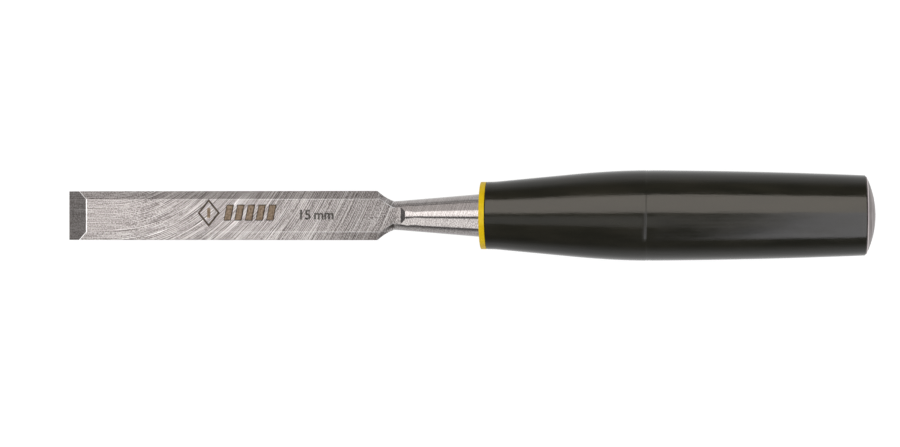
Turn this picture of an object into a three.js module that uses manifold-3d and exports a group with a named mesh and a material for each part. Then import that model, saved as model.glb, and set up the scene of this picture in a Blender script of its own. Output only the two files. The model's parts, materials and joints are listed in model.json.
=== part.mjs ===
// A 15 mm bench chisel lying on a bench, as four pieces: the forged blade with its neck and tang,
// the collar, the handle and the strike cap.
//
// Every piece is modelled in the tool's own frame, in millimetres: +X runs from the cutting edge
// along the handle's axis to the strike cap, +Y goes across the blade, +Z points away from the
// flat back, and the axis is the line y = z = 0. The last group then tips the whole tool until
// its cutting edge and the swell of its handle both touch the plane z = 0.

import * as THREE from "three";
import { mergeVertices } from "three/addons/utils/BufferGeometryUtils.js";
import Module from "manifold-3d";

const wasm = await Module();
wasm.setup();

// ---- Driving dimensions: millimetres and degrees ----

const FIT_GAP = 0.05; // between a piece and what it is pressed into
const ROUND_STEPS = 64; // facets round every turned piece
const CURVE_STEPS = 8; // steps along each curve of an outline

// Blade, from the cutting edge to the shoulder
const BLADE_WIDTH = 15;
const BLADE_LENGTH = 96.1;
const LAND_WIDTH = 10; // the flat between the two side bevels
const TIP_THICKNESS = 3.1;
const SHOULDER_THICKNESS = 4.2;
const EDGE_ANGLE = 28; // of the ground cutting bevel
const SIDE_BEVEL_ANGLE = 28;
const BACK_DROP = 0.5; // of the flat back below the axis

// Shoulder, neck and bolster of the same forging
const SHOULDER_LENGTH = 5.2;
const SHOULDER_STEPS = 9;
const BEVEL_RUN_OUT = 1.1; // length over which the shoulder wall crosses a side bevel
const NECK_RADIUS = 4.34;
const NECK_NOSE = 3.6; // length of the rounded start of the neck, under the flat back
const NECK_LAND_LENGTH = 2.3; // the land goes on along the neck this far
const NECK_STEP_ANGLE = 27; // of the short facet that ends the land
const NECK_LENGTH = 26.45;
const BOLSTER_RADIUS = 6.54;

// Tang, hidden in the handle
const JOURNAL_RADIUS = 4; // of the round part that the collar sits on
const JOURNAL_LENGTH = 9;
const TANG_SIDE = 5.2; // across the flats where the square part starts
const TANG_TIP_SIDE = 3.4;
const TANG_LENGTH = 64;
const BARB_COUNT = 4;
const BARB_DEPTH = 0.3;
const BARB_PITCH = 12;
const BARB_LENGTH = 7;

// Collar
const COLLAR_RADIUS = 10.24;
const COLLAR_THICKNESS = 1.7;
const COLLAR_FRONT_ROUND = 0.25;
const SPIGOT_RADIUS = 7;
const SPIGOT_LENGTH = 6;

// Handle
const HANDLE_LENGTH = 113.75;
const HANDLE_FRONT_RADIUS = 10.26;
const HANDLE_FRONT_LENGTH = 2.4; // the short cylinder behind the collar
const CONE_LENGTH = 23.4;
const CONE_END_RADIUS = 12.46;
const BELLY_FROM_FRONT = 48.65;
const BELLY_RADIUS = 13.66;
const HANDLE_END_RADIUS = 12.04;
const END_BULGE = 0.58; // how far the rear outline's guide point stands outside a straight taper
const EDGE_ROUND = 0.25;

// Strike cap
const CAP_RADIUS = 11.7;
const CAP_RIM = 0.25;
const DOME_HEIGHT = 2.75;
const STEM_RADIUS = 3.4;
const STEM_LENGTH = 24;
const STEM_BARB = 0.4; // how far each ring on the stem stands out
const STEM_BARB_COUNT = 4;
const STEM_BARB_PITCH = 4.5;

// ---- Stations along the axis ----

const NECK_X = BLADE_LENGTH + SHOULDER_LENGTH;
const BOLSTER_X = NECK_X + NECK_LENGTH;
const SQUARE_X = BOLSTER_X + JOURNAL_LENGTH;
const TANG_END_X = SQUARE_X + TANG_LENGTH;
const COLLAR_X = BOLSTER_X + FIT_GAP;
const HANDLE_X = COLLAR_X + COLLAR_THICKNESS + FIT_GAP;
const BELLY_X = HANDLE_X + BELLY_FROM_FRONT;
const HANDLE_END_X = HANDLE_X + HANDLE_LENGTH;
const CAP_X = HANDLE_END_X + FIT_GAP;
const APEX_X = CAP_X + CAP_RIM + DOME_HEIGHT;

// ---- Materials ----

const groundSteel = new THREE.MeshStandardMaterial({ color: 0xb8b0ac, roughness: 0.38, metalness: 1 });
const domedSteel = new THREE.MeshStandardMaterial({ color: 0x9c9292, roughness: 0.3, metalness: 1 });
const yellowPlastic = new THREE.MeshStandardMaterial({ color: 0xe0b80c, roughness: 0.4, metalness: 0 });
const blackPlastic = new THREE.MeshStandardMaterial({ color: 0x1d1d1a, roughness: 0.3, metalness: 0 });

// ---- Small helpers ----

const lerp = THREE.MathUtils.lerp;
const clamp01 = (t) => THREE.MathUtils.clamp(t, 0, 1);
const tan = (degrees) => Math.tan(THREE.MathUtils.degToRad(degrees));

// A closed geometry as a manifold-3d solid.
function solidOf(geometry) {
  const bare = geometry.clone();
  bare.deleteAttribute("normal");
  bare.deleteAttribute("uv");
  const merged = mergeVertices(bare, 1e-4);
  const vertProperties = merged.getAttribute("position").array;
  const triVerts = new Uint32Array(merged.index.array);
  return new wasm.Manifold(new wasm.Mesh({ numProp: 3, vertProperties, triVerts }));
}

function geometryOf(solid) {
  const mesh = solid.getMesh();
  const geometry = new THREE.BufferGeometry();
  geometry.setAttribute("position", new THREE.BufferAttribute(mesh.vertProperties, 3));
  geometry.setIndex(new THREE.BufferAttribute(mesh.triVerts, 1));
  geometry.computeVertexNormals();
  return geometry;
}

// A solid turned about the tool's axis. The outline is a Path whose points are (radius, x).
function turned(outline) {
  const geometry = new THREE.LatheGeometry(outline.getPoints(CURVE_STEPS), ROUND_STEPS);
  return solidOf(geometry.rotateZ(-Math.PI / 2));
}

function cylinder(radius, from, to) {
  const outline = new THREE.Path().moveTo(0, from).lineTo(radius, from);
  return turned(outline.lineTo(radius, to).lineTo(0, to));
}

// A square bar on the axis that tapers from one side length to another between two stations.
function squareTaper(fromSide, toSide, from, to) {
  const corner = Math.SQRT1_2; // a square's corner is this share of its side from the middle
  const bar = new THREE.CylinderGeometry(toSide * corner, fromSide * corner, to - from, 4);
  bar.rotateY(Math.PI / 4).rotateZ(-Math.PI / 2).translate((from + to) / 2, 0, 0);
  return solidOf(bar);
}

// A prism across the tool, wider than every piece. The outline's points are (x, z).
function acrossPrism(points) {
  const width = BLADE_WIDTH * 2;
  const prism = new THREE.ExtrudeGeometry(new THREE.Shape(points), { depth: width, bevelEnabled: false });
  return solidOf(prism.rotateX(Math.PI / 2).translate(0, width / 2, 0));
}

// Skins a row of closed sections that all have the same number of points, and caps both ends.
function loft(sections) {
  const count = sections[0].length;
  const faces = [];
  for (let s = 0; s + 1 < sections.length; s++) {
    for (let i = 0; i < count; i++) {
      const a = s * count + i;
      const b = s * count + ((i + 1) % count);
      faces.push(a, b, b + count, a, b + count, a + count);
    }
  }
  for (const s of [0, sections.length - 1]) {
    const flat = sections[s].map((p) => new THREE.Vector2(p.y, p.z));
    for (const [a, b, c] of THREE.ShapeUtils.triangulateShape(flat, [])) {
      const cap = s === 0 ? [c, b, a] : [a, b, c];
      faces.push(...cap.map((i) => s * count + i));
    }
  }
  return solidOf(new THREE.BufferGeometry().setFromPoints(sections.flat()).setIndex(faces));
}

// ---- Blade: one forging from the cutting edge to the tip of the tang ----

// Height of the land above the axis. The blade grows evenly thicker from its edge to the neck.
function landHeight(x) {
  const slope = (SHOULDER_THICKNESS - TIP_THICKNESS) / BLADE_LENGTH;
  return TIP_THICKNESS - BACK_DROP + x * slope;
}

const NECK_LAND_HALF = Math.sqrt(NECK_RADIUS ** 2 - landHeight(NECK_X) ** 2);

// Half the width of the blade seen from above: straight, then a hollow curve down to the neck.
function halfWidth(x) {
  const along = clamp01((x - BLADE_LENGTH) / SHOULDER_LENGTH);
  const drop = BLADE_WIDTH / 2 - NECK_RADIUS;
  return BLADE_WIDTH / 2 - drop * (1.5 * along - 0.5 * along * along);
}

// Half the width of the land: straight, then slanting in to the chord where it meets the neck.
function halfLand(x) {
  const start = BLADE_LENGTH + BEVEL_RUN_OUT;
  const along = clamp01((x - start) / (NECK_X - start));
  return lerp(LAND_WIDTH / 2, NECK_LAND_HALF, along);
}

// The half section of the blade at x, as points (y, z) from the land down to the flat back.
// Behind the side bevel a shoulder wall drops from the land's edge to the blade's outline. It
// starts hollow in section and swells until it becomes the round of the neck.
function halfSection(x) {
  const along = clamp01((x - BLADE_LENGTH) / SHOULDER_LENGTH);
  const crossing = clamp01((x - BLADE_LENGTH) / BEVEL_RUN_OUT);
  const land = landHeight(x);
  const flat = halfLand(x);
  const brink = lerp(halfWidth(BLADE_LENGTH), LAND_WIDTH / 2, crossing);
  const wallTop = crossing < 1 ? brink : flat;
  const wallTopHeight = land - (wallTop - flat) * tan(SIDE_BEVEL_ANGLE);
  const sideHeight = land - ((BLADE_WIDTH - LAND_WIDTH) / 2) * tan(SIDE_BEVEL_ANGLE);
  const foot = new THREE.Vector2(halfWidth(x), lerp(sideHeight, 0, along));
  const top = new THREE.Vector2(wallTop, wallTopHeight);
  const hollow = top.clone().lerp(foot, 0.35).add(new THREE.Vector2(-0.4, -0.4).multiplyScalar(crossing));
  const swollen = new THREE.Vector2(foot.x, lerp(foot.y, top.y, 0.66));
  const wall = new THREE.QuadraticBezierCurve(top, hollow.lerp(swollen, along ** 3), foot);
  const bevelTop = new THREE.Vector2(Math.min(flat, wallTop - 0.01), land);
  return [bevelTop, ...wall.getPoints(CURVE_STEPS), new THREE.Vector2(halfWidth(x), -BACK_DROP)];
}

// The whole section at x, counter-clockwise seen from the handle, shrunk towards the axis.
function bladeSection(x, scale = 1) {
  const right = halfSection(x);
  const left = right.map((p) => new THREE.Vector2(-p.x, p.y)).reverse();
  const outline = [...right, ...left].reverse();
  return outline.map((p) => new THREE.Vector3(x, p.x * scale, p.y * scale));
}

// The flat part of the blade and its shoulders, with the cutting bevel ground off its end.
function bladeBar() {
  const sections = [bladeSection(0), bladeSection(BLADE_LENGTH)];
  for (let i = 1; i <= SHOULDER_STEPS; i++) {
    sections.push(bladeSection(BLADE_LENGTH + (SHOULDER_LENGTH * i) / SHOULDER_STEPS));
  }
  sections.push(bladeSection(NECK_X + 1, 0.9)); // dives into the neck
  const edge = new THREE.Vector2(0, -BACK_DROP);
  const rise = new THREE.Vector2(1, tan(EDGE_ANGLE));
  const ground = [
    edge.clone().addScaledVector(rise, -1),
    edge.clone().addScaledVector(rise, BLADE_WIDTH),
    new THREE.Vector2(-1, BLADE_WIDTH),
  ];
  return loft(sections).subtract(acrossPrism(ground));
}

// The cone from the shoulder to the bolster, with the end of the land cut into its top.
function neck() {
  const land = new THREE.Vector2(NECK_X + NECK_LAND_LENGTH, landHeight(NECK_X + NECK_LAND_LENGTH));
  const rise = new THREE.Vector2(1, tan(NECK_STEP_ANGLE));
  const cut = [
    new THREE.Vector2(NECK_X - 1, landHeight(NECK_X - 1)),
    land,
    land.clone().addScaledVector(rise, BOLSTER_RADIUS),
    new THREE.Vector2(NECK_X - 1, land.y + BOLSTER_RADIUS),
  ];
  const outline = new THREE.Path().moveTo(0, NECK_X).lineTo(NECK_RADIUS, NECK_X);
  const cone = turned(outline.lineTo(BOLSTER_RADIUS, BOLSTER_X).lineTo(0, BOLSTER_X));
  return cone.subtract(acrossPrism(cut)).add(neckNose());
}

// The rounded front of the neck where it stands out below the flat back.
function neckNose() {
  const front = NECK_X - NECK_NOSE;
  const outline = new THREE.Path().moveTo(0, front);
  outline.quadraticCurveTo(NECK_RADIUS, front, NECK_RADIUS, NECK_X).lineTo(0, NECK_X);
  const below = [
    new THREE.Vector2(front - 1, -BACK_DROP / 2),
    new THREE.Vector2(front - 1, -BLADE_WIDTH),
    new THREE.Vector2(NECK_X + 1, -BLADE_WIDTH),
    new THREE.Vector2(NECK_X + 1, -BACK_DROP / 2),
  ];
  return turned(outline).intersect(acrossPrism(below));
}

// The tang: a round journal, then a square taper with barbs that hold in the handle. A positive
// gap makes the slightly larger shape of the hole that it fills.
function tang(gap) {
  const side = (x) => lerp(TANG_SIDE, TANG_TIP_SIDE, (x - SQUARE_X) / TANG_LENGTH) + 2 * gap;
  let solid = cylinder(JOURNAL_RADIUS + gap, BOLSTER_X - 1, SQUARE_X + gap);
  solid = solid.add(squareTaper(side(SQUARE_X), side(TANG_END_X), SQUARE_X - 1, TANG_END_X + gap));
  for (let i = 0; i < BARB_COUNT; i++) {
    const from = SQUARE_X + BARB_LENGTH + i * BARB_PITCH;
    const to = from + BARB_LENGTH;
    const barb = squareTaper(side(from) + 2 * BARB_DEPTH, side(to), from - gap, to);
    solid = solid.add(barb);
  }
  return solid;
}

function blade() {
  return bladeBar().add(neck()).add(tang(0));
}

// ---- Collar: a ring between the bolster and the handle, with a spigot inside the handle ----

function collar() {
  const back = COLLAR_X + COLLAR_THICKNESS;
  const bore = JOURNAL_RADIUS + FIT_GAP;
  const outline = new THREE.Path()
    .moveTo(bore, COLLAR_X)
    .lineTo(COLLAR_RADIUS - COLLAR_FRONT_ROUND, COLLAR_X)
    .quadraticCurveTo(COLLAR_RADIUS, COLLAR_X, COLLAR_RADIUS, COLLAR_X + COLLAR_FRONT_ROUND)
    .lineTo(COLLAR_RADIUS, back - EDGE_ROUND / 2)
    .lineTo(COLLAR_RADIUS - EDGE_ROUND / 2, back)
    .lineTo(SPIGOT_RADIUS, back)
    .lineTo(SPIGOT_RADIUS, back + SPIGOT_LENGTH)
    .lineTo(bore, back + SPIGOT_LENGTH)
    .lineTo(bore, COLLAR_X);
  return turned(outline);
}

// ---- Handle ----

function handleOutline() {
  const coneX = HANDLE_X + HANDLE_FRONT_LENGTH;
  const coneEndX = coneX + CONE_LENGTH;
  const coneSlope = (CONE_END_RADIUS - HANDLE_FRONT_RADIUS) / CONE_LENGTH;
  const crownX = coneEndX + (BELLY_RADIUS - CONE_END_RADIUS) / coneSlope;
  const rearX = HANDLE_END_X - EDGE_ROUND;
  const guideRadius = (BELLY_RADIUS + HANDLE_END_RADIUS) / 2 + END_BULGE;
  return new THREE.Path()
    .moveTo(0, HANDLE_X)
    .lineTo(HANDLE_FRONT_RADIUS - EDGE_ROUND, HANDLE_X)
    .quadraticCurveTo(HANDLE_FRONT_RADIUS, HANDLE_X, HANDLE_FRONT_RADIUS, HANDLE_X + EDGE_ROUND)
    .lineTo(HANDLE_FRONT_RADIUS, coneX)
    .lineTo(CONE_END_RADIUS, coneEndX)
    .quadraticCurveTo(BELLY_RADIUS, crownX, BELLY_RADIUS, BELLY_X)
    .quadraticCurveTo(guideRadius, (BELLY_X + rearX) / 2, HANDLE_END_RADIUS, rearX)
    .quadraticCurveTo(HANDLE_END_RADIUS, HANDLE_END_X, HANDLE_END_RADIUS - EDGE_ROUND, HANDLE_END_X)
    .lineTo(0, HANDLE_END_X);
}

// The handle has a mouth for the collar's spigot, the tang's hole and the cap stem's hole.
function handle() {
  const mouth = cylinder(SPIGOT_RADIUS + FIT_GAP, HANDLE_X - 1, HANDLE_X + SPIGOT_LENGTH + FIT_GAP);
  return turned(handleOutline()).subtract(mouth).subtract(tang(FIT_GAP)).subtract(stem(FIT_GAP));
}

// ---- Strike cap: a dome that takes the mallet, with a ringed stem pressed into the handle ----

// A positive gap makes the slightly larger shape of the hole that the stem fills.
function stem(gap) {
  const radius = STEM_RADIUS + gap;
  const end = CAP_X - STEM_LENGTH - gap;
  const outline = new THREE.Path().moveTo(0, end).lineTo(radius, end);
  for (let i = 1; i <= STEM_BARB_COUNT; i++) {
    const ringX = CAP_X - STEM_LENGTH + i * STEM_BARB_PITCH;
    outline.lineTo(radius, ringX - STEM_BARB_PITCH / 2);
    outline.lineTo(radius + STEM_BARB, ringX + gap);
    outline.lineTo(radius, ringX + gap);
  }
  return turned(outline.lineTo(radius, CAP_X + CAP_RIM / 2).lineTo(0, CAP_X + CAP_RIM / 2));
}

function strikeCap() {
  const domeRadius = (CAP_RADIUS ** 2 + DOME_HEIGHT ** 2) / (2 * DOME_HEIGHT);
  const outline = new THREE.Path()
    .moveTo(0, CAP_X)
    .lineTo(CAP_RADIUS, CAP_X)
    .lineTo(CAP_RADIUS, CAP_X + CAP_RIM)
    .absarc(0, APEX_X - domeRadius, domeRadius, Math.acos(CAP_RADIUS / domeRadius), Math.PI / 2);
  return turned(outline).add(stem(0));
}

// ---- Assembly ----

function piece(name, solid, material) {
  const mesh = new THREE.Mesh(geometryOf(solid), material);
  mesh.name = name;
  return mesh;
}

const tool = new THREE.Group();
tool.name = "bench_chisel";
tool.add(piece("blade", blade(), groundSteel));
tool.add(piece("collar", collar(), yellowPlastic));
tool.add(piece("handle", handle(), blackPlastic));
tool.add(piece("strike_cap", strikeCap(), domedSteel));

// Tipped about its cutting edge until the handle touches the bench, then centred over the origin.
const contactAngles = handleOutline()
  .getPoints(CURVE_STEPS)
  .map((point) => Math.atan2(point.x - BACK_DROP, point.y));
const restAngle = Math.max(...contactAngles);
tool.rotation.y = -restAngle;
tool.position.z = BACK_DROP * Math.cos(restAngle);
tool.updateMatrixWorld(true);
tool.position.x = -new THREE.Box3().setFromObject(tool, true).getCenter(new THREE.Vector3()).x;

export default tool;
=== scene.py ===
import json
import math

import bmesh
import bpy
from mathutils import Matrix, Vector

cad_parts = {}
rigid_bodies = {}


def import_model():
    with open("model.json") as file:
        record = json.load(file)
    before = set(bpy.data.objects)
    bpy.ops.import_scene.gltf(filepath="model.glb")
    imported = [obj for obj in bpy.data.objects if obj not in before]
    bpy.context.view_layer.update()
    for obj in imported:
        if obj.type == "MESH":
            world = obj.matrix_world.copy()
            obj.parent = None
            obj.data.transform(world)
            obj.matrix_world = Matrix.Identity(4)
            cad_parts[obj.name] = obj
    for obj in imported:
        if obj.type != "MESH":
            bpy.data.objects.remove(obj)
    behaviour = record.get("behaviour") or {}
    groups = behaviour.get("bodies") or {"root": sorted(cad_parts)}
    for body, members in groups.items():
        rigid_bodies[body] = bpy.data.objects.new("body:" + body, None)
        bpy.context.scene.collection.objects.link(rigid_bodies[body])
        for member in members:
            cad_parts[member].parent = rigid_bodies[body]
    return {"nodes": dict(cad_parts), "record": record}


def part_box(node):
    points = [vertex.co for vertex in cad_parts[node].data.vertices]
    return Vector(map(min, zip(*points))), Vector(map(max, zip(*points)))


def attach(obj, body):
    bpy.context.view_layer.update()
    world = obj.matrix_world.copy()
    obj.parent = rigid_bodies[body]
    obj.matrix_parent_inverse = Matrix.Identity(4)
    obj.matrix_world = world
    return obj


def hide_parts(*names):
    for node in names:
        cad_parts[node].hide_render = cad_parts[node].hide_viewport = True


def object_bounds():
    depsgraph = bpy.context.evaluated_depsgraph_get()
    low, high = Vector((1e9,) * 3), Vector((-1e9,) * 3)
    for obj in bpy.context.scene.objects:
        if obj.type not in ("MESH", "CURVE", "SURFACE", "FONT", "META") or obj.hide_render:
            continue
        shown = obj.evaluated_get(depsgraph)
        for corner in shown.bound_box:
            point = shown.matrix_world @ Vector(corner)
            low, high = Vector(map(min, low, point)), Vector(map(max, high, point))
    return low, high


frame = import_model()
CAD_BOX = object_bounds()

MM = 0.001

# ---- The tool's frame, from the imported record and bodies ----

MOUNT = frame["record"]["mounts"][0]  # the flat back of the blade
DOWN = Vector(MOUNT["axis"])
ALONG = Vector((-DOWN.z, 0, DOWN.x))
BLADE_BOX = [Vector(corner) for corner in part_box("blade")]
EDGE = Vector((BLADE_BOX[0].x, 0, BLADE_BOX[0].z))  # the middle of the cutting edge
BACK_DROP = 0.5  # of the flat back below the tool's axis, in mm


def tool_matrix():
    """From the tool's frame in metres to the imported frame."""
    up = -DOWN
    across = up.cross(ALONG)
    turn = Matrix((ALONG, across, up)).transposed().to_4x4()
    origin = EDGE + up * BACK_DROP * MM
    return Matrix.Translation(origin) @ turn


TOOL = tool_matrix()


def span(node):
    """The first and last station of a CAD node along the tool's axis, in mm."""
    to_tool = TOOL.inverted()
    places = [(to_tool @ v.co).x / MM for v in frame["nodes"][node].data.vertices]
    return min(places), max(places)


def half_breadth(node):
    low, high = (Vector(corner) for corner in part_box(node))
    return (high.y - low.y) / 2 / MM


BLADE_HALF = half_breadth("blade")
COLLAR_RADIUS = half_breadth("collar")
BELLY_RADIUS = half_breadth("handle")
CAP_RADIUS = half_breadth("strike_cap")
TANG_END_X = span("blade")[1]
COLLAR_X, SPIGOT_END_X = span("collar")
HANDLE_X, HANDLE_END_X = span("handle")
STEM_X, APEX_X = span("strike_cap")

# ---- Sizes of the blade, in mm ----

GAP = 0.05  # between any two parts that fit together
LAND_HALF = 5.0
TIP_THICKNESS = 3.1
SHOULDER_THICKNESS = 4.2
SHOULDER_X = 96.1
LAND_SLOPE = (SHOULDER_THICKNESS - TIP_THICKNESS) / SHOULDER_X
EDGE_SLOPE = math.tan(math.radians(28))  # of the cutting bevel
SIDE_SLOPE = math.tan(math.radians(28))  # of the side bevels
CREST = 0.1  # how far a ground edge is worn round
BEVEL_RUN_OUT = 1.1  # length of a side bevel's end in the shoulder
SHOULDER_SWEEP = 1.5  # how much faster than evenly the shoulder draws in at first
NECK_X = 101.3
NECK_RADIUS = 4.34
NECK_NOSE = 3.6  # length of the neck's rounded start
NECK_LAND_END_X = NECK_X + 2.3
NECK_STEP_SLOPE = math.tan(math.radians(27))
NECK_STEP_LENGTH = 1.6  # from the flat's end to the full round of the neck
BOLSTER_X = COLLAR_X - GAP
BOLSTER_RADIUS = 6.54
BOLSTER_ROUND = 0.3  # of its worn rear edge
JOURNAL_RADIUS = 4.0
SQUARE_X = BOLSTER_X + 9
TANG_SIDE = 5.2
TANG_TIP_SIDE = 3.4
CREST_POINTS = 3
WALL_POINTS = 9
ARC_POINTS = 9

# ---- Outlines ----


def lerp(a, b, t):
    return a + (b - a) * t


def clamp01(t):
    return min(max(t, 0.0), 1.0)


def stations(start, end, count):
    """Evenly spaced values from start to end, with count steps between them."""
    return [lerp(start, end, i / count) for i in range(count + 1)]


def soft_min(a, b, reach):
    """The smaller of two values, rounded off where they cross."""
    blend = clamp01(0.5 + (b - a) / (2 * reach))
    return lerp(b, a, blend) - reach * blend * (1 - blend)


def quadratic(a, b, c, steps):
    """Points along a quadratic curve from a to c with the guide point b."""
    points = []
    for i in range(steps + 1):
        t = i / steps
        points.append(a * (1 - t) ** 2 + b * 2 * t * (1 - t) + c * t**2)
    return points


def rounded(corners, steps=4):
    """An open outline of (x, y, radius) corners as points, each corner rounded by its radius."""
    points = []
    for i, (x, y, radius) in enumerate(corners):
        corner = Vector((x, y))
        if radius == 0 or i == 0 or i == len(corners) - 1:
            points.append(corner)
            continue
        before = (Vector(corners[i - 1][:2]) - corner).normalized()
        after = (Vector(corners[i + 1][:2]) - corner).normalized()
        points += quadratic(corner + before * radius, corner, corner + after * radius, steps)
    return points


# ---- Meshes and objects ----

MERGE_DISTANCE = 2e-6  # in metres, as the next one
FLAT_DISTANCE = 1e-7


def add_to_scene(name, data):
    thing = bpy.data.objects.new(name, data)
    bpy.context.scene.collection.objects.link(thing)
    return thing


def new_piece(name, mesh, node, material):
    """A piece that rides on the root body and stands for a CAD node, unless the node is None."""
    piece = add_to_scene(name, mesh)
    mesh.materials.append(material)
    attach(piece, "root")
    if node:
        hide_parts(node)
    return piece


def new_mesh(name, points, faces, node, material, sharp=30):
    """A closed piece from points in the tool's frame. Edges past the sharp angle stay crisp."""
    mesh = bpy.data.meshes.new(name)
    mesh.from_pydata([Vector(p) * MM for p in points], [], faces)
    mesh.validate()
    merge_close(mesh)
    mesh.transform(TOOL)
    mesh.shade_smooth()
    mesh.set_sharp_from_angle(angle=math.radians(sharp))
    return new_piece(name, mesh, node, material)


def merge_close(mesh):
    """Joins points that coincide, drops faces without area and turns all faces outwards."""
    work = bmesh.new()
    work.from_mesh(mesh)
    bmesh.ops.remove_doubles(work, verts=work.verts, dist=MERGE_DISTANCE)
    bmesh.ops.dissolve_degenerate(work, edges=work.edges, dist=FLAT_DISTANCE)
    bmesh.ops.recalc_face_normals(work, faces=work.faces)
    work.to_mesh(mesh)
    work.free()


def weigh_normals(piece):
    """Keeps broad flat faces shaded flat beside their narrow worn edges."""
    weighting = piece.modifiers.new("even_shading", "WEIGHTED_NORMAL")
    weighting.keep_sharp = True
    weighting.weight = 80


def faces_between(here, there, count, closed=True):
    """Faces between two rows of points, which start at these places in the list of points."""
    faces = []
    for i in range(count if closed else count - 1):
        k = (i + 1) % count
        faces.append((here + i, here + k, there + k, there + i))
    return faces


def turned(name, outline, node, material, closed=False):
    """A piece turned about the tool's axis. The outline's points are (x, radius)."""
    segments = 256
    count = len(outline)
    points = []
    faces = []
    for i in range(segments):
        angle = 2 * math.pi * i / segments
        for x, radius in outline:
            points.append((x, radius * math.cos(angle), radius * math.sin(angle)))
        faces += faces_between(i * count, (i + 1) % segments * count, count, closed)
    new_mesh(name, points, faces, node, material)


# ---- Blade ----
#
# A section of the blade is made from one half, a list of (y, z) points from the middle of its top
# round to the middle of its underside. Every half has the same number of points.


def land_height(x):
    return TIP_THICKNESS - BACK_DROP + x * LAND_SLOPE


def side_height(x):
    """Height at which the upright side meets the side bevel."""
    return land_height(x) - (BLADE_HALF - LAND_HALF) * SIDE_SLOPE


def half_width(x):
    along = clamp01((x - SHOULDER_X) / (NECK_X - SHOULDER_X))
    drawn_in = SHOULDER_SWEEP * along - (SHOULDER_SWEEP - 1) * along**2
    return BLADE_HALF - (BLADE_HALF - NECK_RADIUS) * drawn_in


NECK_LAND_HALF = math.sqrt(NECK_RADIUS**2 - land_height(NECK_X) ** 2)


def half_land(x):
    start = SHOULDER_X + BEVEL_RUN_OUT
    return lerp(LAND_HALF, NECK_LAND_HALF, clamp01((x - start) / (NECK_X - start)))


def neck_radius(x):
    along = (x - NECK_X) / (BOLSTER_X - NECK_X)
    return lerp(NECK_RADIUS, BOLSTER_RADIUS, along)


def nose_radius(x):
    """Radius of the neck's rounded start, which stands out below the flat back."""
    s = math.sqrt(clamp01((x - NECK_X + NECK_NOSE) / NECK_NOSE))
    return NECK_RADIUS * (2 * s - s * s)


def arc(radius, start, end, count):
    """Points (y, z) on a circle round the axis between two angles, in radians."""
    angles = stations(start, end, count - 1)
    return [Vector((radius * math.cos(a), radius * math.sin(a))) for a in angles]


def under_side(x, width):
    """The half outline below the axis: the foot's corner, the flat back and the neck's nose."""
    if x >= NECK_X:
        radius = width
        start = -math.asin(BACK_DROP / radius)
        corner = [Vector((width * math.cos(start), -BACK_DROP))] * 2
    else:
        radius = max(nose_radius(x), BACK_DROP)
        start = -math.asin(BACK_DROP / radius)
        inner = (width + math.sqrt(width**2 - BACK_DROP**2)) / 2
        corner = [Vector((inner, -BACK_DROP + CREST)), Vector((inner - CREST, -BACK_DROP))]
    return corner + arc(radius, start, -math.pi / 2, ARC_POINTS)


def worn_corner(before, corner, after, count):
    """A few points that round the corner between two neighbours by the wear of its crest."""
    back = before - corner
    ahead = after - corner
    start = corner + back.normalized() * min(CREST, back.length / 2)
    end = corner + ahead.normalized() * min(CREST, ahead.length / 2)
    return quadratic(start, corner, end, count - 1)


def blade_half(x):
    """The half section of the flat blade at x, up to the shoulder."""
    ground = -BACK_DROP + x * EDGE_SLOPE
    land = land_height(x)
    side = side_height(x)
    back = Vector((BLADE_HALF, -BACK_DROP))
    if ground <= side + CREST / 2:
        low = min(ground, side)
        brim = Vector((BLADE_HALF, low))
        wall = [brim] * (CREST_POINTS + WALL_POINTS)
        return [Vector((0, low))] + wall + [back] * 2 + [Vector((0, -BACK_DROP))] * ARC_POINTS
    flat = LAND_HALF + max(0.0, land - ground) / SIDE_SLOPE
    centre = Vector((0, soft_min(land, ground, CREST / 2)))
    crest = Vector((min(flat, BLADE_HALF), centre.y))
    foot = Vector((BLADE_HALF, side))
    upper = worn_corner(centre, crest, foot, CREST_POINTS)
    wall = worn_corner(crest, foot, back, WALL_POINTS)
    return [centre] + upper + wall + under_side(x, BLADE_HALF)


def shoulder_half(x):
    """The half section of the shoulder at x, with its hollow wall."""
    hollow_place = 0.35  # share of the way down the wall
    hollow_depth = 0.4
    swell_place = 0.66  # share of the way up the wall
    along = clamp01((x - SHOULDER_X) / (NECK_X - SHOULDER_X))
    crossing = clamp01((x - SHOULDER_X) / BEVEL_RUN_OUT)
    flat = half_land(x)
    land = land_height(x)
    width = half_width(x)
    brink = lerp(BLADE_HALF, LAND_HALF, crossing) if crossing < 1 else flat
    top = Vector((brink, land - (brink - flat) * SIDE_SLOPE))
    foot = Vector((width, lerp(side_height(x), 0, along)))
    hollow = top.lerp(foot, hollow_place) - Vector((hollow_depth, hollow_depth)) * crossing
    swollen = Vector((width, lerp(foot.y, top.y, swell_place)))
    wall = quadratic(top, hollow.lerp(swollen, along**3), foot, WALL_POINTS - 1)
    crest = Vector((flat, land))
    wear = Vector((CREST * (1 - crossing), 0))
    upper = [Vector((0, land)), crest - wear, crest, crest.lerp(top, 0.5 * (1 - crossing))]
    return upper + wall + under_side(x, width)


def neck_half(x):
    """The half section of the neck at x: a circle, flattened on top near the shoulder."""
    radius = neck_radius(x)
    step = land_height(NECK_LAND_END_X) + (x - NECK_LAND_END_X) * NECK_STEP_SLOPE
    top = min(radius, land_height(x) if x <= NECK_LAND_END_X else step)
    crest = Vector((math.sqrt(max(0.0, radius**2 - top**2)), top))
    wall = arc(radius, math.asin(min(1.0, top / radius)), 0, WALL_POINTS)
    return [Vector((0, top))] + [crest] * CREST_POINTS + wall + under_side(x, radius)


def round_half(radius):
    """A round half section, as the journal and the bolster's rear edge have."""
    upper = arc(radius, math.pi / 2, 0, WALL_POINTS)
    lower = arc(radius, 0, -math.pi / 2, ARC_POINTS)
    return [upper[0]] * (1 + CREST_POINTS) + upper + [lower[0]] * 2 + lower


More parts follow.
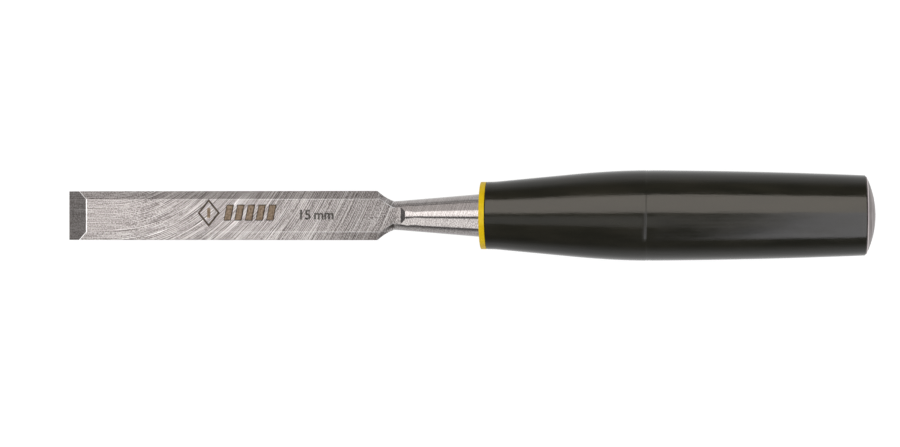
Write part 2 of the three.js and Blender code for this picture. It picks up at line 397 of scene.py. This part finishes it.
def square_half(half_side):
    """The half section of the tang."""
    return [p * (half_side / max(abs(p.x), abs(p.y))) for p in round_half(half_side)]


def blade_sections():
    """Every station from the edge to the shoulder's start, with its half section."""
    side_x = (side_height(0) + BACK_DROP) / (EDGE_SLOPE - LAND_SLOPE)
    land_x = TIP_THICKNESS / (EDGE_SLOPE - LAND_SLOPE)
    rows = [0, side_x, side_x + CREST] + stations(side_x + 0.5, land_x - CREST, 5)
    rows += stations(land_x - CREST / 2, land_x + CREST, 3) + stations(land_x + 1, SHOULDER_X, 12)
    return [(x, blade_half(x)) for x in rows]


def neck_sections():
    """The shoulder, the neck with its flat and its step, and the bolster's worn rear edge."""
    step_end = NECK_LAND_END_X + NECK_STEP_LENGTH
    sections = [(x, shoulder_half(x)) for x in stations(SHOULDER_X, NECK_X, 20)[1:-1]]
    rows = stations(NECK_X, NECK_LAND_END_X, 4) + stations(NECK_LAND_END_X, step_end, 8)[1:]
    rows += stations(step_end, BOLSTER_X - BOLSTER_ROUND, 8)[1:]
    sections += [(x, neck_half(x)) for x in rows]
    for share in (0.3, 0.7, 1):
        drop = BOLSTER_ROUND * (1 - math.sqrt(1 - share**2))
        sections.append((BOLSTER_X - BOLSTER_ROUND * (1 - share), round_half(BOLSTER_RADIUS - drop)))
    return sections


def tang_sections():
    """The round journal and the square barbed tang."""
    barb_count = 4
    barb_length = 7
    barb_pitch = 12
    barb_depth = 0.3

    def core(x):
        return lerp(TANG_SIDE, TANG_TIP_SIDE, (x - SQUARE_X) / (TANG_END_X - SQUARE_X)) / 2

    sections = [(x, round_half(JOURNAL_RADIUS)) for x in (BOLSTER_X, SQUARE_X)]
    rows = [(SQUARE_X, core(SQUARE_X))]
    for i in range(barb_count):
        start = SQUARE_X + barb_length + i * barb_pitch
        end = start + barb_length
        rows += [(start, core(start)), (start, core(start) + barb_depth), (end, core(end))]
    rows.append((TANG_END_X, core(TANG_END_X)))
    return sections + [(x, square_half(half_side)) for x, half_side in rows]


def blade():
    sections = blade_sections() + neck_sections() + tang_sections()
    points = []
    for x, half in sections:
        ring = half + [Vector((-p.x, p.y)) for p in reversed(half[1:-1])]
        points += [(x, p.x, p.y) for p in ring]
    count = len(points) // len(sections)
    last = len(points) - count
    faces = []
    for start in range(0, last, count):
        faces += faces_between(start, start + count, count)
    centre = len(points)
    points.append((TANG_END_X, 0, 0))
    faces += [(last + i, last + (i + 1) % count, centre) for i in range(count)]
    steel = ground_steel()
    weigh_normals(new_mesh("blade_forged", points, faces, "blade", steel, sharp=24))


# ---- Collar, handle and strike cap, in mm ----

MOUTH_RADIUS = 7.05  # of the handle's mouth
STEM_RADIUS = 3.4
STEM_RING_RADIUS = 3.8
FRONT_RADIUS = 10.26
FRONT_ROUND = 0.35
CONE_X = HANDLE_X + 2.4
CONE_END_X = CONE_X + 23.4
CONE_END_RADIUS = 12.46
KNEE_ROUND = 1.6
BELLY_X = HANDLE_X + 48.65
END_RADIUS = 12.04
END_BULGE = 0.58
END_ROUND = 0.25
SEAM_WIDTH = 0.16
SEAM_RISE = 0.06


def collar():
    bore = JOURNAL_RADIUS + GAP
    back = HANDLE_X - GAP
    spigot = MOUTH_RADIUS - GAP
    outline = rounded(
        [
            (COLLAR_X, bore, 0),
            (COLLAR_X, COLLAR_RADIUS, 0.25),
            (back, COLLAR_RADIUS, 0.12),
            (back, spigot, 0),
            (SPIGOT_END_X, spigot, 0.4),
            (SPIGOT_END_X, bore, 0),
        ],
        steps=6,
    )
    turned("collar_ring", outline, "collar", yellow_plastic(), closed=True)


def handle_skin():
    """The outer outline of the handle, from its front face to its end, as points (x, radius)."""
    slope = (CONE_END_RADIUS - FRONT_RADIUS) / (CONE_END_X - CONE_X)
    crown_x = CONE_END_X + (BELLY_RADIUS - CONE_END_RADIUS) / slope
    rear_x = HANDLE_END_X - END_ROUND
    front_face = Vector((HANDLE_X, 9.0))
    front_corner = (HANDLE_X, FRONT_RADIUS, FRONT_ROUND)
    knee = (CONE_X, FRONT_RADIUS, KNEE_ROUND)
    before_knee = (CONE_X - 1, FRONT_RADIUS, 0)
    cone_end = Vector((CONE_END_X, CONE_END_RADIUS))
    crown = Vector((crown_x, BELLY_RADIUS))
    belly = Vector((BELLY_X, BELLY_RADIUS))
    rear_guide = Vector(((BELLY_X + rear_x) / 2, (BELLY_RADIUS + END_RADIUS) / 2 + END_BULGE))
    rear_end = Vector((rear_x, END_RADIUS))
    end_corner = Vector((HANDLE_END_X, END_RADIUS))
    end_face = Vector((HANDLE_END_X, END_RADIUS - END_ROUND))
    points = rounded([(*front_face, 0), front_corner, (CONE_X, FRONT_RADIUS, 0)])[:-1]
    points += rounded([before_knee, knee, (*cone_end, 0)], steps=8)[1:-1]
    points += quadratic(cone_end, crown, belly, 24)[:-1]
    points += parting_line()
    points += quadratic(belly, rear_guide, rear_end, 36)[1:-1]
    return points + quadratic(rear_end, end_corner, end_face, 5)


def parting_line():
    """The fine raised line that the mould's two halves leave round the belly."""
    low = BELLY_RADIUS - SEAM_RISE
    return [
        Vector((BELLY_X - SEAM_WIDTH, low)),
        Vector((BELLY_X - SEAM_WIDTH / 3, BELLY_RADIUS)),
        Vector((BELLY_X + SEAM_WIDTH / 3, BELLY_RADIUS)),
        Vector((BELLY_X + SEAM_WIDTH, low)),
    ]


def handle():
    tang_hole = JOURNAL_RADIUS + GAP
    tang_hole_end = TANG_END_X + GAP
    mouth_end = SPIGOT_END_X + GAP
    stem_hole = STEM_RING_RADIUS + GAP
    stem_hole_end = STEM_X - GAP
    front = [
        (tang_hole_end, 0),
        (tang_hole_end, tang_hole),
        (mouth_end, tang_hole),
        (mouth_end, MOUTH_RADIUS),
        (HANDLE_X, MOUTH_RADIUS),
    ]
    rear = [(HANDLE_END_X, stem_hole), (stem_hole_end, stem_hole), (stem_hole_end, 0)]
    outline = front + handle_skin() + rear
    turned("handle_grip", outline, "handle", black_plastic())


def strike_cap():
    ring_count = 4
    ring_pitch = 4.5
    rim = 0.25
    rim_round = 0.15
    dome_steps = 40
    cap_x = HANDLE_END_X + GAP
    height = APEX_X - cap_x - rim
    dome_radius = (CAP_RADIUS**2 + height**2) / (2 * height)
    corners = [(STEM_X, 0, 0), (STEM_X, STEM_RADIUS, 0.5)]
    for i in range(1, ring_count + 1):
        ring_x = STEM_X + i * ring_pitch
        corners.append((ring_x - ring_pitch / 2, STEM_RADIUS, 0))
        corners += [(ring_x, STEM_RING_RADIUS, 0), (ring_x, STEM_RADIUS, 0)]
    corners += [(cap_x, STEM_RADIUS, 0), (cap_x, CAP_RADIUS, 0.08)]
    corners.append((cap_x + rim, CAP_RADIUS, rim_round))
    towards_dome = (cap_x + rim + 1, CAP_RADIUS - 2.2, 0)
    points = rounded(corners + [towards_dome])[:-1]
    for angle in stations(math.asin((CAP_RADIUS - rim_round) / dome_radius), 0, dome_steps):
        x = APEX_X - dome_radius * (1 - math.cos(angle))
        points.append(Vector((x, dome_radius * math.sin(angle))))
    turned("cap_dome", points, "strike_cap", domed_steel())


# ---- Marks on the land, in mm ----

MARK_SINK = 0.03
MARK_RISE = 0.006
EMBLEM_X = 44.4
EMBLEM_Y = 0.8
BAR_WIDTH = 2.3
BAR_HEIGHT = 4.9
BAR_LEAN = 0.2  # how far a bar leans for each mm of its height
SIZE_X = 77.6
SIZE_Y = 0.1


def mark(name, outlines, material, rise=MARK_RISE):
    """Thin slabs let into the land. Each outline is a convex list of points (x, y)."""
    points = []
    faces = []
    for outline in outlines:
        top = len(points)
        bottom = top + len(outline)
        points += [(x, y, land_height(x) + rise) for x, y in outline]
        points += [(x, y, land_height(x) - MARK_SINK) for x, y in outline]
        faces.append(tuple(range(top, bottom)))
        faces.append(tuple(reversed(range(bottom, len(points)))))
        faces += faces_between(bottom, top, len(outline))
    new_mesh(name, points, faces, None, material)


def lozenge_frame(width, height, line):
    """The points and faces of a thin lozenge outline round the emblem's centre."""
    section = [(1, MARK_RISE), (1 - line, MARK_RISE), (1 - line, -MARK_SINK), (1, -MARK_SINK)]
    count = len(section)
    points = []
    faces = []
    for i in range(4):
        angle = i * math.pi / 2
        for share, rise in section:
            x = EMBLEM_X + width / 2 * share * math.cos(angle)
            y = EMBLEM_Y + height / 2 * share * math.sin(angle)
            points.append((x, y, land_height(x) + rise))
        faces += faces_between(i * count, (i + 1) % 4 * count, count)
    return points, faces


def slanting_bar(left, inset=0):
    """A bar that leans along the blade, drawn in from its full size by the inset."""
    centre = EMBLEM_Y + 0.1
    low = centre - BAR_HEIGHT / 2 + inset
    high = centre + BAR_HEIGHT / 2 - inset
    near = left + inset
    far = left + BAR_WIDTH - inset
    corners = [(near, low), (far, low), (far, high), (near, high)]
    return [(x + (y - low) * BAR_LEAN, y) for x, y in corners]


def emblem():
    """A plain made-up sign: a lozenge round an upright bar, then a row of slanting bars."""
    first_bar = 4.6
    bar_pitch = 3.3
    rim_width = 0.28
    near, far = EMBLEM_X - 0.5, EMBLEM_X + 0.5
    low, high = EMBLEM_Y - 1.5, EMBLEM_Y + 1.5
    lefts = [EMBLEM_X + first_bar + i * bar_pitch for i in range(5)]
    rim = etch("etch_rim", (0.035, 0.027, 0.02, 1), (0.13, 0.1, 0.08, 1))
    fill = etch("etch_fill", (0.15, 0.105, 0.065, 1), (0.36, 0.27, 0.19, 1))
    points, faces = lozenge_frame(7.0, 8.6, 0.22)
    new_mesh("mark_frame", points, faces, None, rim)
    mark("mark_stroke", [[(near, low), (far, low), (far, high), (near, high)]], fill)
    mark("mark_bar_rims", [slanting_bar(left) for left in lefts], rim)
    mark("mark_bars", [slanting_bar(left, rim_width) for left in lefts], fill, 2 * MARK_RISE)


def size_mark():
    """The blade's width in plain figures."""
    curve = bpy.data.curves.new("mark_size", "FONT")
    curve.body = "15 mm"
    curve.size = 4.1 * MM
    curve.offset = 0.11 * MM
    curve.space_word = 0.7
    curve.align_x = "CENTER"
    curve.align_y = "CENTER"
    curve.extrude = (MARK_SINK + MARK_RISE) / 2 * MM
    curve.resolution_u = 3
    text = add_to_scene("text", curve)
    bpy.context.view_layer.update()
    mesh = bpy.data.meshes.new_from_object(text.evaluated_get(bpy.context.evaluated_depsgraph_get()))
    bpy.data.objects.remove(text)
    middle = Vector((SIZE_X, SIZE_Y, land_height(SIZE_X) + (MARK_RISE - MARK_SINK) / 2)) * MM
    tilt = Matrix.Rotation(-math.atan(LAND_SLOPE), 4, "Y")
    mesh.transform(TOOL @ Matrix.Translation(middle) @ tilt)
    mesh.materials.clear()
    ink = etch("etch_size", (0.04, 0.036, 0.032, 1), (0.15, 0.14, 0.13, 1))
    new_piece("mark_size", mesh, None, ink)


# ---- Materials ----

FINE_BUMP = 0.01 * MM


class Nodes:
    """A short way to build one material's node tree, in metres unless a method says mm."""

    def __init__(self, name):
        self.material = bpy.data.materials.new(name)
        self.material.use_nodes = True
        self.tree = self.material.node_tree
        self.shader = self.tree.nodes["Principled BSDF"]
        self.place = self.tool_place()

    def tool_place(self):
        """The point on the surface in the tool's own frame."""
        node = self.add("ShaderNodeMapping", vector_type="TEXTURE")
        self.link(self.add("ShaderNodeTexCoord").outputs["Object"], node.inputs["Vector"])
        node.inputs["Location"].default_value = TOOL.to_translation()
        node.inputs["Rotation"].default_value = TOOL.to_euler()
        return node.outputs[0]

    def add(self, kind, **settings):
        node = self.tree.nodes.new(kind)
        for key, value in settings.items():
            setattr(node, key, value)
        return node

    def link(self, value, socket):
        """Feeds a socket from another one, or sets it to a constant."""
        if isinstance(value, bpy.types.NodeSocket):
            self.tree.links.new(value, socket)
        else:
            socket.default_value = value

    def math(self, operation, a, b=0.0, c=0.0):
        node = self.add("ShaderNodeMath", operation=operation)
        for value, socket in zip((a, b, c), node.inputs):
            self.link(value, socket)
        return node.outputs[0]

    def plus(self, a, b):
        return self.math("ADD", a, b)

    def minus(self, a, b):
        return self.math("SUBTRACT", a, b)

    def times(self, a, b):
        return self.math("MULTIPLY", a, b)

    def times_plus(self, a, b, c):
        return self.math("MULTIPLY_ADD", a, b, c)

    def larger(self, a, b):
        return self.math("MAXIMUM", a, b)

    def length(self, a, b):
        """The length of a vector with the parts a and b."""
        return self.math("SQRT", self.times_plus(a, a, self.times(b, b)))

    def parts(self, vector):
        node = self.add("ShaderNodeSeparateXYZ")
        self.link(vector, node.inputs[0])
        return node.outputs

    def vector(self, x, y, z):
        node = self.add("ShaderNodeCombineXYZ")
        for value, socket in zip((x, y, z), node.inputs):
            self.link(value, socket)
        return node.outputs[0]

    def stretch(self, scale):
        """The point on the surface, scaled along each axis: a small scale draws a noise out."""
        node = self.add("ShaderNodeMapping")
        self.link(self.place, node.inputs["Vector"])
        node.inputs["Scale"].default_value = scale
        return node.outputs[0]

    def noise(self, vector, scale, detail=2.0, rough=0.5):
        node = self.add("ShaderNodeTexNoise")
        self.link(vector, node.inputs["Vector"])
        node.inputs["Scale"].default_value = scale
        node.inputs["Detail"].default_value = detail
        node.inputs["Roughness"].default_value = rough
        return node.outputs["Fac"]

    def band(self, value, low, high, out_low=0.0, out_high=1.0):
        """Goes from out_low to out_high as the value goes from low to high, and stays there."""
        node = self.add("ShaderNodeMapRange")
        self.link(value, node.inputs["Value"])
        node.inputs["From Min"].default_value = low
        node.inputs["From Max"].default_value = high
        node.inputs["To Min"].default_value = out_low
        node.inputs["To Max"].default_value = out_high
        return node.outputs[0]

    def window(self, value, start, full, fade, end):
        """Rises from 0 to 1 between the first two limits and falls again between the last two.
        The limits are in mm."""
        rise = self.band(value, start * MM, full * MM)
        return self.times(rise, self.band(value, end * MM, fade * MM))

    def mix(self, factor, a, b):
        node = self.add("ShaderNodeMix", data_type="RGBA")
        self.link(factor, node.inputs["Factor"])
        self.link(a, node.inputs["A"])
        self.link(b, node.inputs["B"])
        return node.outputs["Result"]

    def bump(self, height, distance=FINE_BUMP):
        node = self.add("ShaderNodeBump")
        node.inputs["Distance"].default_value = distance
        self.link(height, node.inputs["Height"])
        self.link(node.outputs[0], self.shader.inputs["Normal"])

    def set(self, **sockets):
        """Sets the shader's sockets. An underscore in a name stands for a space."""
        for key, value in sockets.items():
            self.link(value, self.shader.inputs[key.replace("_", " ")])


def grinding_lines(n, x, y):
    """Coordinates across and along the grinding marks. They are arcs round a point beside the
    blade, so they turn from along it at its tip to nearly across it at the shoulder."""
    centre_x = 14 * MM
    centre_y = 37 * MM
    draw_out = 0.02  # scale along the marks
    beyond = n.larger(n.minus(x, centre_x), 0.0)
    return n.length(beyond, n.minus(centre_y, y)), n.times(x, draw_out)


def line_noise(n, lines, layer, scale, detail=1.0):
    """Noise drawn out along the grinding marks. Layers differ from each other."""
    across, along = lines
    return n.noise(n.vector(across, along, layer), scale, detail)


def grinding_marks(n, lines, deep, speckle):
    """The relief of the ground steel, around 0.5: uneven lines, hair lines and an even ripple,
    as strong as the factor deep, and a grain as strong as the factor speckle."""
    ripple_pitch = 0.46 * MM
    ripple_wander = 12.0  # in radians
    uneven = n.times(line_noise(n, lines, 0.0, 4400), 0.48)
    hair = n.times(line_noise(n, lines, 0.5, 7000, 0.0), 0.26)
    wander = n.times(line_noise(n, lines, 0.3, 700), ripple_wander)
    turns = n.times_plus(lines[0], 2 * math.pi / ripple_pitch, wander)
    ripple = n.band(n.math("SINE", turns), -1, 1, 0.05, 0.21)
    marks = n.plus(n.plus(uneven, hair), ripple)
    marks = n.times_plus(n.minus(marks, 0.5), deep, 0.5)
    grain = n.noise(n.stretch((1.6, 1, 1)), 2200, 1.0, 0.6)
    return n.times_plus(n.minus(grain, 0.5), speckle, marks)


def land_depth(n, x, z):
    """How far the surface lies below the plane of the land."""
    return n.minus(n.times_plus(x, LAND_SLOPE, land_height(0) * MM), z)


def cut_depth(n, x, z):
    """How far the surface lies below the plane of the cutting bevel."""
    return n.minus(n.times_plus(x, EDGE_SLOPE, -BACK_DROP * MM), z)


def shoulder_scale_and_painted_shade(n, x, y, z):
    """Dark forging scale and painted shade: thick in the hollow of the −y shoulder and thin in the
    +y one's.
    A haze, partly scale and partly painted shade, darkens the end of the land and, more strongly,
    the end of the −y side bevel."""
    hollow = n.window(land_depth(n, x, z), 0.2, 0.35, 1.3, 2.0)
    hollow = n.times(hollow, n.window(x, SHOULDER_X, NECK_X - 1, NECK_X, NECK_X + 1))
    hollow = n.times(hollow, n.band(y, -1 * MM, 1 * MM, 0.95, 0.35))
    haze = n.window(x, SHOULDER_X - 24, SHOULDER_X - 6, NECK_X, NECK_LAND_END_X)
    bevel = n.band(y, (0.1 - LAND_HALF) * MM, (-0.2 - LAND_HALF) * MM, 0.15, 0.55)
    return n.larger(hollow, n.times(haze, bevel))


def edge_wear_and_painted_highlights(n, x, y, z):
    """Thin bright lines, partly wear and partly painted highlight, where the ground faces meet:
    round the cutting bevel, along the side bevels and on the brink of the shoulders, brighter on +y."""
    cut = n.window(cut_depth(n, x, z), 0.03, 0.05, 0.12, 0.2)
    line_start, line_full = LAND_HALF - 0.14, LAND_HALF - 0.04
    line_fade, line_end = LAND_HALF + 0.04, LAND_HALF + 0.14
    sides = n.window(n.math("ABSOLUTE", y), line_start, line_full, line_fade, line_end)
    sides = n.times(sides, n.band(land_depth(n, x, z), 0.2 * MM, 0.1 * MM))
    sides = n.times(sides, n.band(x, 20 * MM, 60 * MM, 0.0, 0.4))
    brink = n.window(land_depth(n, x, z), 0.01, 0.05, 0.2, 0.3)
    brink = n.times(brink, n.window(x, SHOULDER_X, SHOULDER_X + 2, NECK_X, NECK_X + 1))
    # Painted highlight: the brink is brighter on the +y side, as if it caught the light.
    brink = n.times(brink, n.band(y, -1 * MM, 1 * MM, 0.3, 1.0))
    return n.larger(cut, n.larger(sides, brink))


def ground_steel():
    """Steel with curved grinding marks, faint near the tip, and a polished, finely gritty neck."""
    n = Nodes("ground_steel")
    x, y, z = n.parts(n.place)
    lines = grinding_lines(n, x, y)
    neck = n.band(x, NECK_X * MM, NECK_LAND_END_X * MM)
    deep = n.times(n.band(x, 10 * MM, 32 * MM, 0.35, 1.0), n.band(neck, 0, 1, 1.0, 0.18))
    speckle = n.band(x, (SHOULDER_X - 16) * MM, SHOULDER_X * MM, 0.4, 0.9)
    speckle = n.times(speckle, n.times_plus(neck, n.band(y, 1 * MM, -1 * MM, -0.9, -0.55), 1.0))
    marks = grinding_marks(n, lines, deep, speckle)
    colour = n.mix(n.band(marks, 0.42, 0.58), (0.155, 0.135, 0.13, 1), (0.605, 0.573, 0.562, 1))

    scratch = line_noise(n, lines, 0.9, 4200)
    tarnish = n.band(n.noise(n.place, 180, 3.0), 0.3, 0.7, 0, 0.3)
    # Painted shade: the −y side of the neck is darkened, as if it faced away from the light.
    painted_shade_lower_neck = n.times(neck, n.band(y, 0.5 * MM, -0.5 * MM, 0.0, 0.5))
    # Painted shade: the cutting bevel is darkened, as if it faced away from the light.
    cut = n.band(cut_depth(n, x, z), 0.03 * MM, 0.02 * MM, 0.0, 0.4)
    layers = [
        (n.times(n.band(scratch, 0.64, 0.7), deep), (0.9, 0.89, 0.88, 1)),
        (n.times(n.band(scratch, 0.36, 0.3), deep), (0.05, 0.045, 0.04, 1)),
        (tarnish, (0.34, 0.31, 0.3, 1)),
        # painted shade on the −y side of the neck
        (painted_shade_lower_neck, (0.22, 0.205, 0.2, 1)),
        # forging scale with painted shade in the shoulders and at the ends of the bevels
        (shoulder_scale_and_painted_shade(n, x, y, z), (0.07, 0.06, 0.055, 1)),
        # painted shade on the cutting bevel
        (cut, (0.1, 0.088, 0.08, 1)),
        # worn edges with painted highlights
        (edge_wear_and_painted_highlights(n, x, y, z), (0.95, 0.95, 0.95, 1)),
    ]
    for cover, layer_colour in layers:
        colour = n.mix(cover, colour, layer_colour)

    rough = n.band(neck, 0, 1, 0.38, 0.13)
    rough = n.plus(rough, n.band(marks, 0.38, 0.62, 0.06, -0.04))
    n.set(Base_Color=colour, Metallic=1.0, Roughness=rough)
    n.bump(marks)
    return n.material


def domed_steel():
    """Turned steel with fine rings and a painted highlight along its rim."""
    n = Nodes("domed_steel")
    x, y, z = n.parts(n.place)
    radius = n.length(y, z)
    rings = n.noise(n.vector(radius, x, n.times(y, 0.05)), 800, 2.0, 0.6)
    cloud = n.noise(n.place, 300, 3.0)
    colour = n.mix(n.band(rings, 0.38, 0.62), (0.14, 0.118, 0.116, 1), (0.32, 0.277, 0.272, 1))
    # Painted highlight: a bright ring on the rim's rounded edge.
    rim = n.window(radius, CAP_RADIUS - 0.7, CAP_RADIUS - 0.5, CAP_RADIUS - 0.2, CAP_RADIUS)
    colour = n.mix(rim, colour, (0.72, 0.65, 0.65, 1))
    n.set(Base_Color=colour, Metallic=1.0, Roughness=n.band(cloud, 0.3, 0.7, 0.32, 0.45))
    n.bump(rings)
    return n.material


def yellow_plastic():
    n = Nodes("yellow_plastic")
    cloud = n.noise(n.place, 500, 4.0)
    colour = n.mix(n.band(cloud, 0.3, 0.7), (0.58, 0.38, 0.003, 1), (0.68, 0.48, 0.006, 1))
    n.set(Base_Color=colour, Roughness=n.band(cloud, 0.3, 0.7, 0.3, 0.45), Specular_IOR_Level=0.15)
    n.bump(n.noise(n.place, 2500))
    return n.material


def black_plastic():
    """Glossy dark plastic with faint scuffs and waves along the handle."""
    n = Nodes("black_plastic")
    cloud = n.noise(n.stretch((0.3, 1, 1)), 220, 4.0)
    scuffs = n.noise(n.stretch((0.05, 1, 1)), 1500, 3.0, 0.6)
    waves = n.noise(n.stretch((0.4, 1, 1)), 120)
    colour = n.mix(n.band(cloud, 0.3, 0.7), (0.0045, 0.0045, 0.003, 1), (0.008, 0.0075, 0.005, 1))
    rough = n.band(n.plus(cloud, scuffs), 0.7, 1.3, 0.12, 0.22)
    n.set(Base_Color=colour, Roughness=rough, Specular_IOR_Level=0.25)
    n.bump(n.plus(waves, scuffs), 2 * FINE_BUMP)
    return n.material


def etch(name, dark, light):
    """The dull uneven surface of a mark etched in the steel."""
    n = Nodes(name)
    cloud = n.noise(n.place, 1800, 3.0, 0.7)
    n.set(Base_Color=n.mix(n.band(cloud, 0.35, 0.65), dark, light), Metallic=0.6)
    n.set(Roughness=n.band(cloud, 0.35, 0.65, 0.6, 0.5))
    n.bump(cloud)
    return n.material


# ---- Floor, light and camera, in metres ----

FLOOR_HALF = 4
FLOOR_DROP = 0.0002  # of the floor below the tool
PANEL_HEIGHT = 1.0
SKY_ABOVE = 0.2
SKY_BELOW = 0.95
CAMERA_X = EDGE.x + 0.13635
CAMERA_Y = -0.00243
CAMERA_HEIGHT = 0.81
CAMERA_TILT = math.radians(1.32)
LENS = 105.2  # focal length in mm, for a sensor 36 mm wide


def floor():
    mesh = bpy.data.meshes.new("floor")
    h = FLOOR_HALF
    mesh.from_pydata([(-h, -h, 0), (h, -h, 0), (h, h, 0), (-h, h, 0)], [], [(0, 1, 2, 3)])
    plane = add_to_scene("floor", mesh)
    plane.location.z = CAD_BOX[0][2] - FLOOR_DROP
    n = Nodes("pale_floor")
    n.set(Base_Color=(0.25, 0.25, 0.25, 1), Roughness=1.0, Specular_IOR_Level=0.0)
    n.set(Emission_Color=(1, 1, 1, 1), Emission_Strength=0.9)
    mesh.materials.append(n.material)
    plane.visible_glossy = False


def softbox(name, lit, centre, size, radiance, colour=(1, 1, 1), height=PANEL_HEIGHT):
    """A level panel of even brightness that faces down and lights only the given objects."""
    light = bpy.data.lights.new(name, "AREA")
    light.shape = "RECTANGLE"
    light.size, light.size_y = size
    light.energy = radiance * math.pi * size[0] * size[1]
    light.color = colour
    lamp = add_to_scene(name, light)
    lamp.location = (*centre, height)
    receivers = bpy.data.collections.new(name + "_lights")
    for receiver in lit:
        receivers.objects.link(receiver)
    lamp.light_linking.receiver_collection = receivers


def handle_lights():
    handle = [bpy.data.objects["handle_grip"]]
    softbox("handle_panel", handle, (-0.1, 0.74), (1.8, 1.24), 5.2, (1, 0.925, 0.84))
    softbox("rear_panel", handle, (0.61, -0.96), (1.02, 2.16), 4.75, (0.96, 0.95, 1.0))
    softbox("fill_panel", handle, (-0.5, -0.3), (1.0, 0.5), 1.2)


def metal_lights():
    metal = [o for o in bpy.data.objects if o.name.startswith(("blade", "cap", "mark"))]
    softbox("blade_panel", metal, (-0.73, 0.225), (1.0, 0.65), 2.3, (1, 0.98, 0.97))
    softbox("low_panel", metal, (-0.73, -2.49), (1.0, 4.3), 1.87, (1, 0.99, 0.98))
    softbox("high_panel", metal, (-0.73, 5.3), (1.0, 9.5), 0.7, (1, 0.96, 0.94))
    softbox("tip_panel", metal, (-0.95, 1.6), (0.9, 1.4), 1.8, (1, 0.96, 0.94))
    softbox("front_panel", metal, (-4.6, 0), (4.0, 9.0), 0.6)
    softbox("back_panel", metal, (3.7, 0), (5.4, 9.0), 1.0)
    softbox("verge_panel", metal, (-0.3, 7.1), (4.0, 11.8), 0.7, (1, 0.97, 0.94), height=0.12)


def studio():
    handle_lights()
    softbox("ring_panel", [bpy.data.objects["collar_ring"]], (0, 0), (1.6, 1.2), 2.5)
    metal_lights()
    softbox("floor_panel", [bpy.data.objects["floor"]], (0, 0), (2.4, 2.4), 1.0)
    sky()


def sky():
    """Dim light from above and brighter light from below, as the pale floor would throw it."""
    world = bpy.data.worlds.new("sky")
    bpy.context.scene.world = world
    world.use_nodes = True
    tree = world.node_tree
    background = tree.nodes["Background"]
    direction = tree.nodes.new("ShaderNodeTexCoord").outputs["Generated"]
    parts = tree.nodes.new("ShaderNodeSeparateXYZ")
    level = tree.nodes.new("ShaderNodeMapRange")
    level.inputs["From Min"].default_value = 0.05
    level.inputs["From Max"].default_value = -0.35
    level.inputs["To Min"].default_value = SKY_ABOVE
    level.inputs["To Max"].default_value = SKY_BELOW
    tree.links.new(direction, parts.inputs[0])
    tree.links.new(parts.outputs["Z"], level.inputs["Value"])
    tree.links.new(level.outputs[0], background.inputs["Strength"])
    background.inputs["Color"].default_value = (1, 1, 1, 1)


def camera():
    view = bpy.data.cameras.new("camera")
    view.lens = LENS
    view.sensor_width = 36
    view.clip_end = 20
    eye = add_to_scene("camera", view)
    eye.location = (CAMERA_X, CAMERA_Y, CAMERA_HEIGHT)
    eye.rotation_euler = (0, CAMERA_TILT, 0)
    bpy.context.scene.camera = eye


blade()
collar()
handle()
strike_cap()
emblem()
size_mark()
floor()
studio()
camera()
bpy.context.scene.view_settings.view_transform = "Standard"
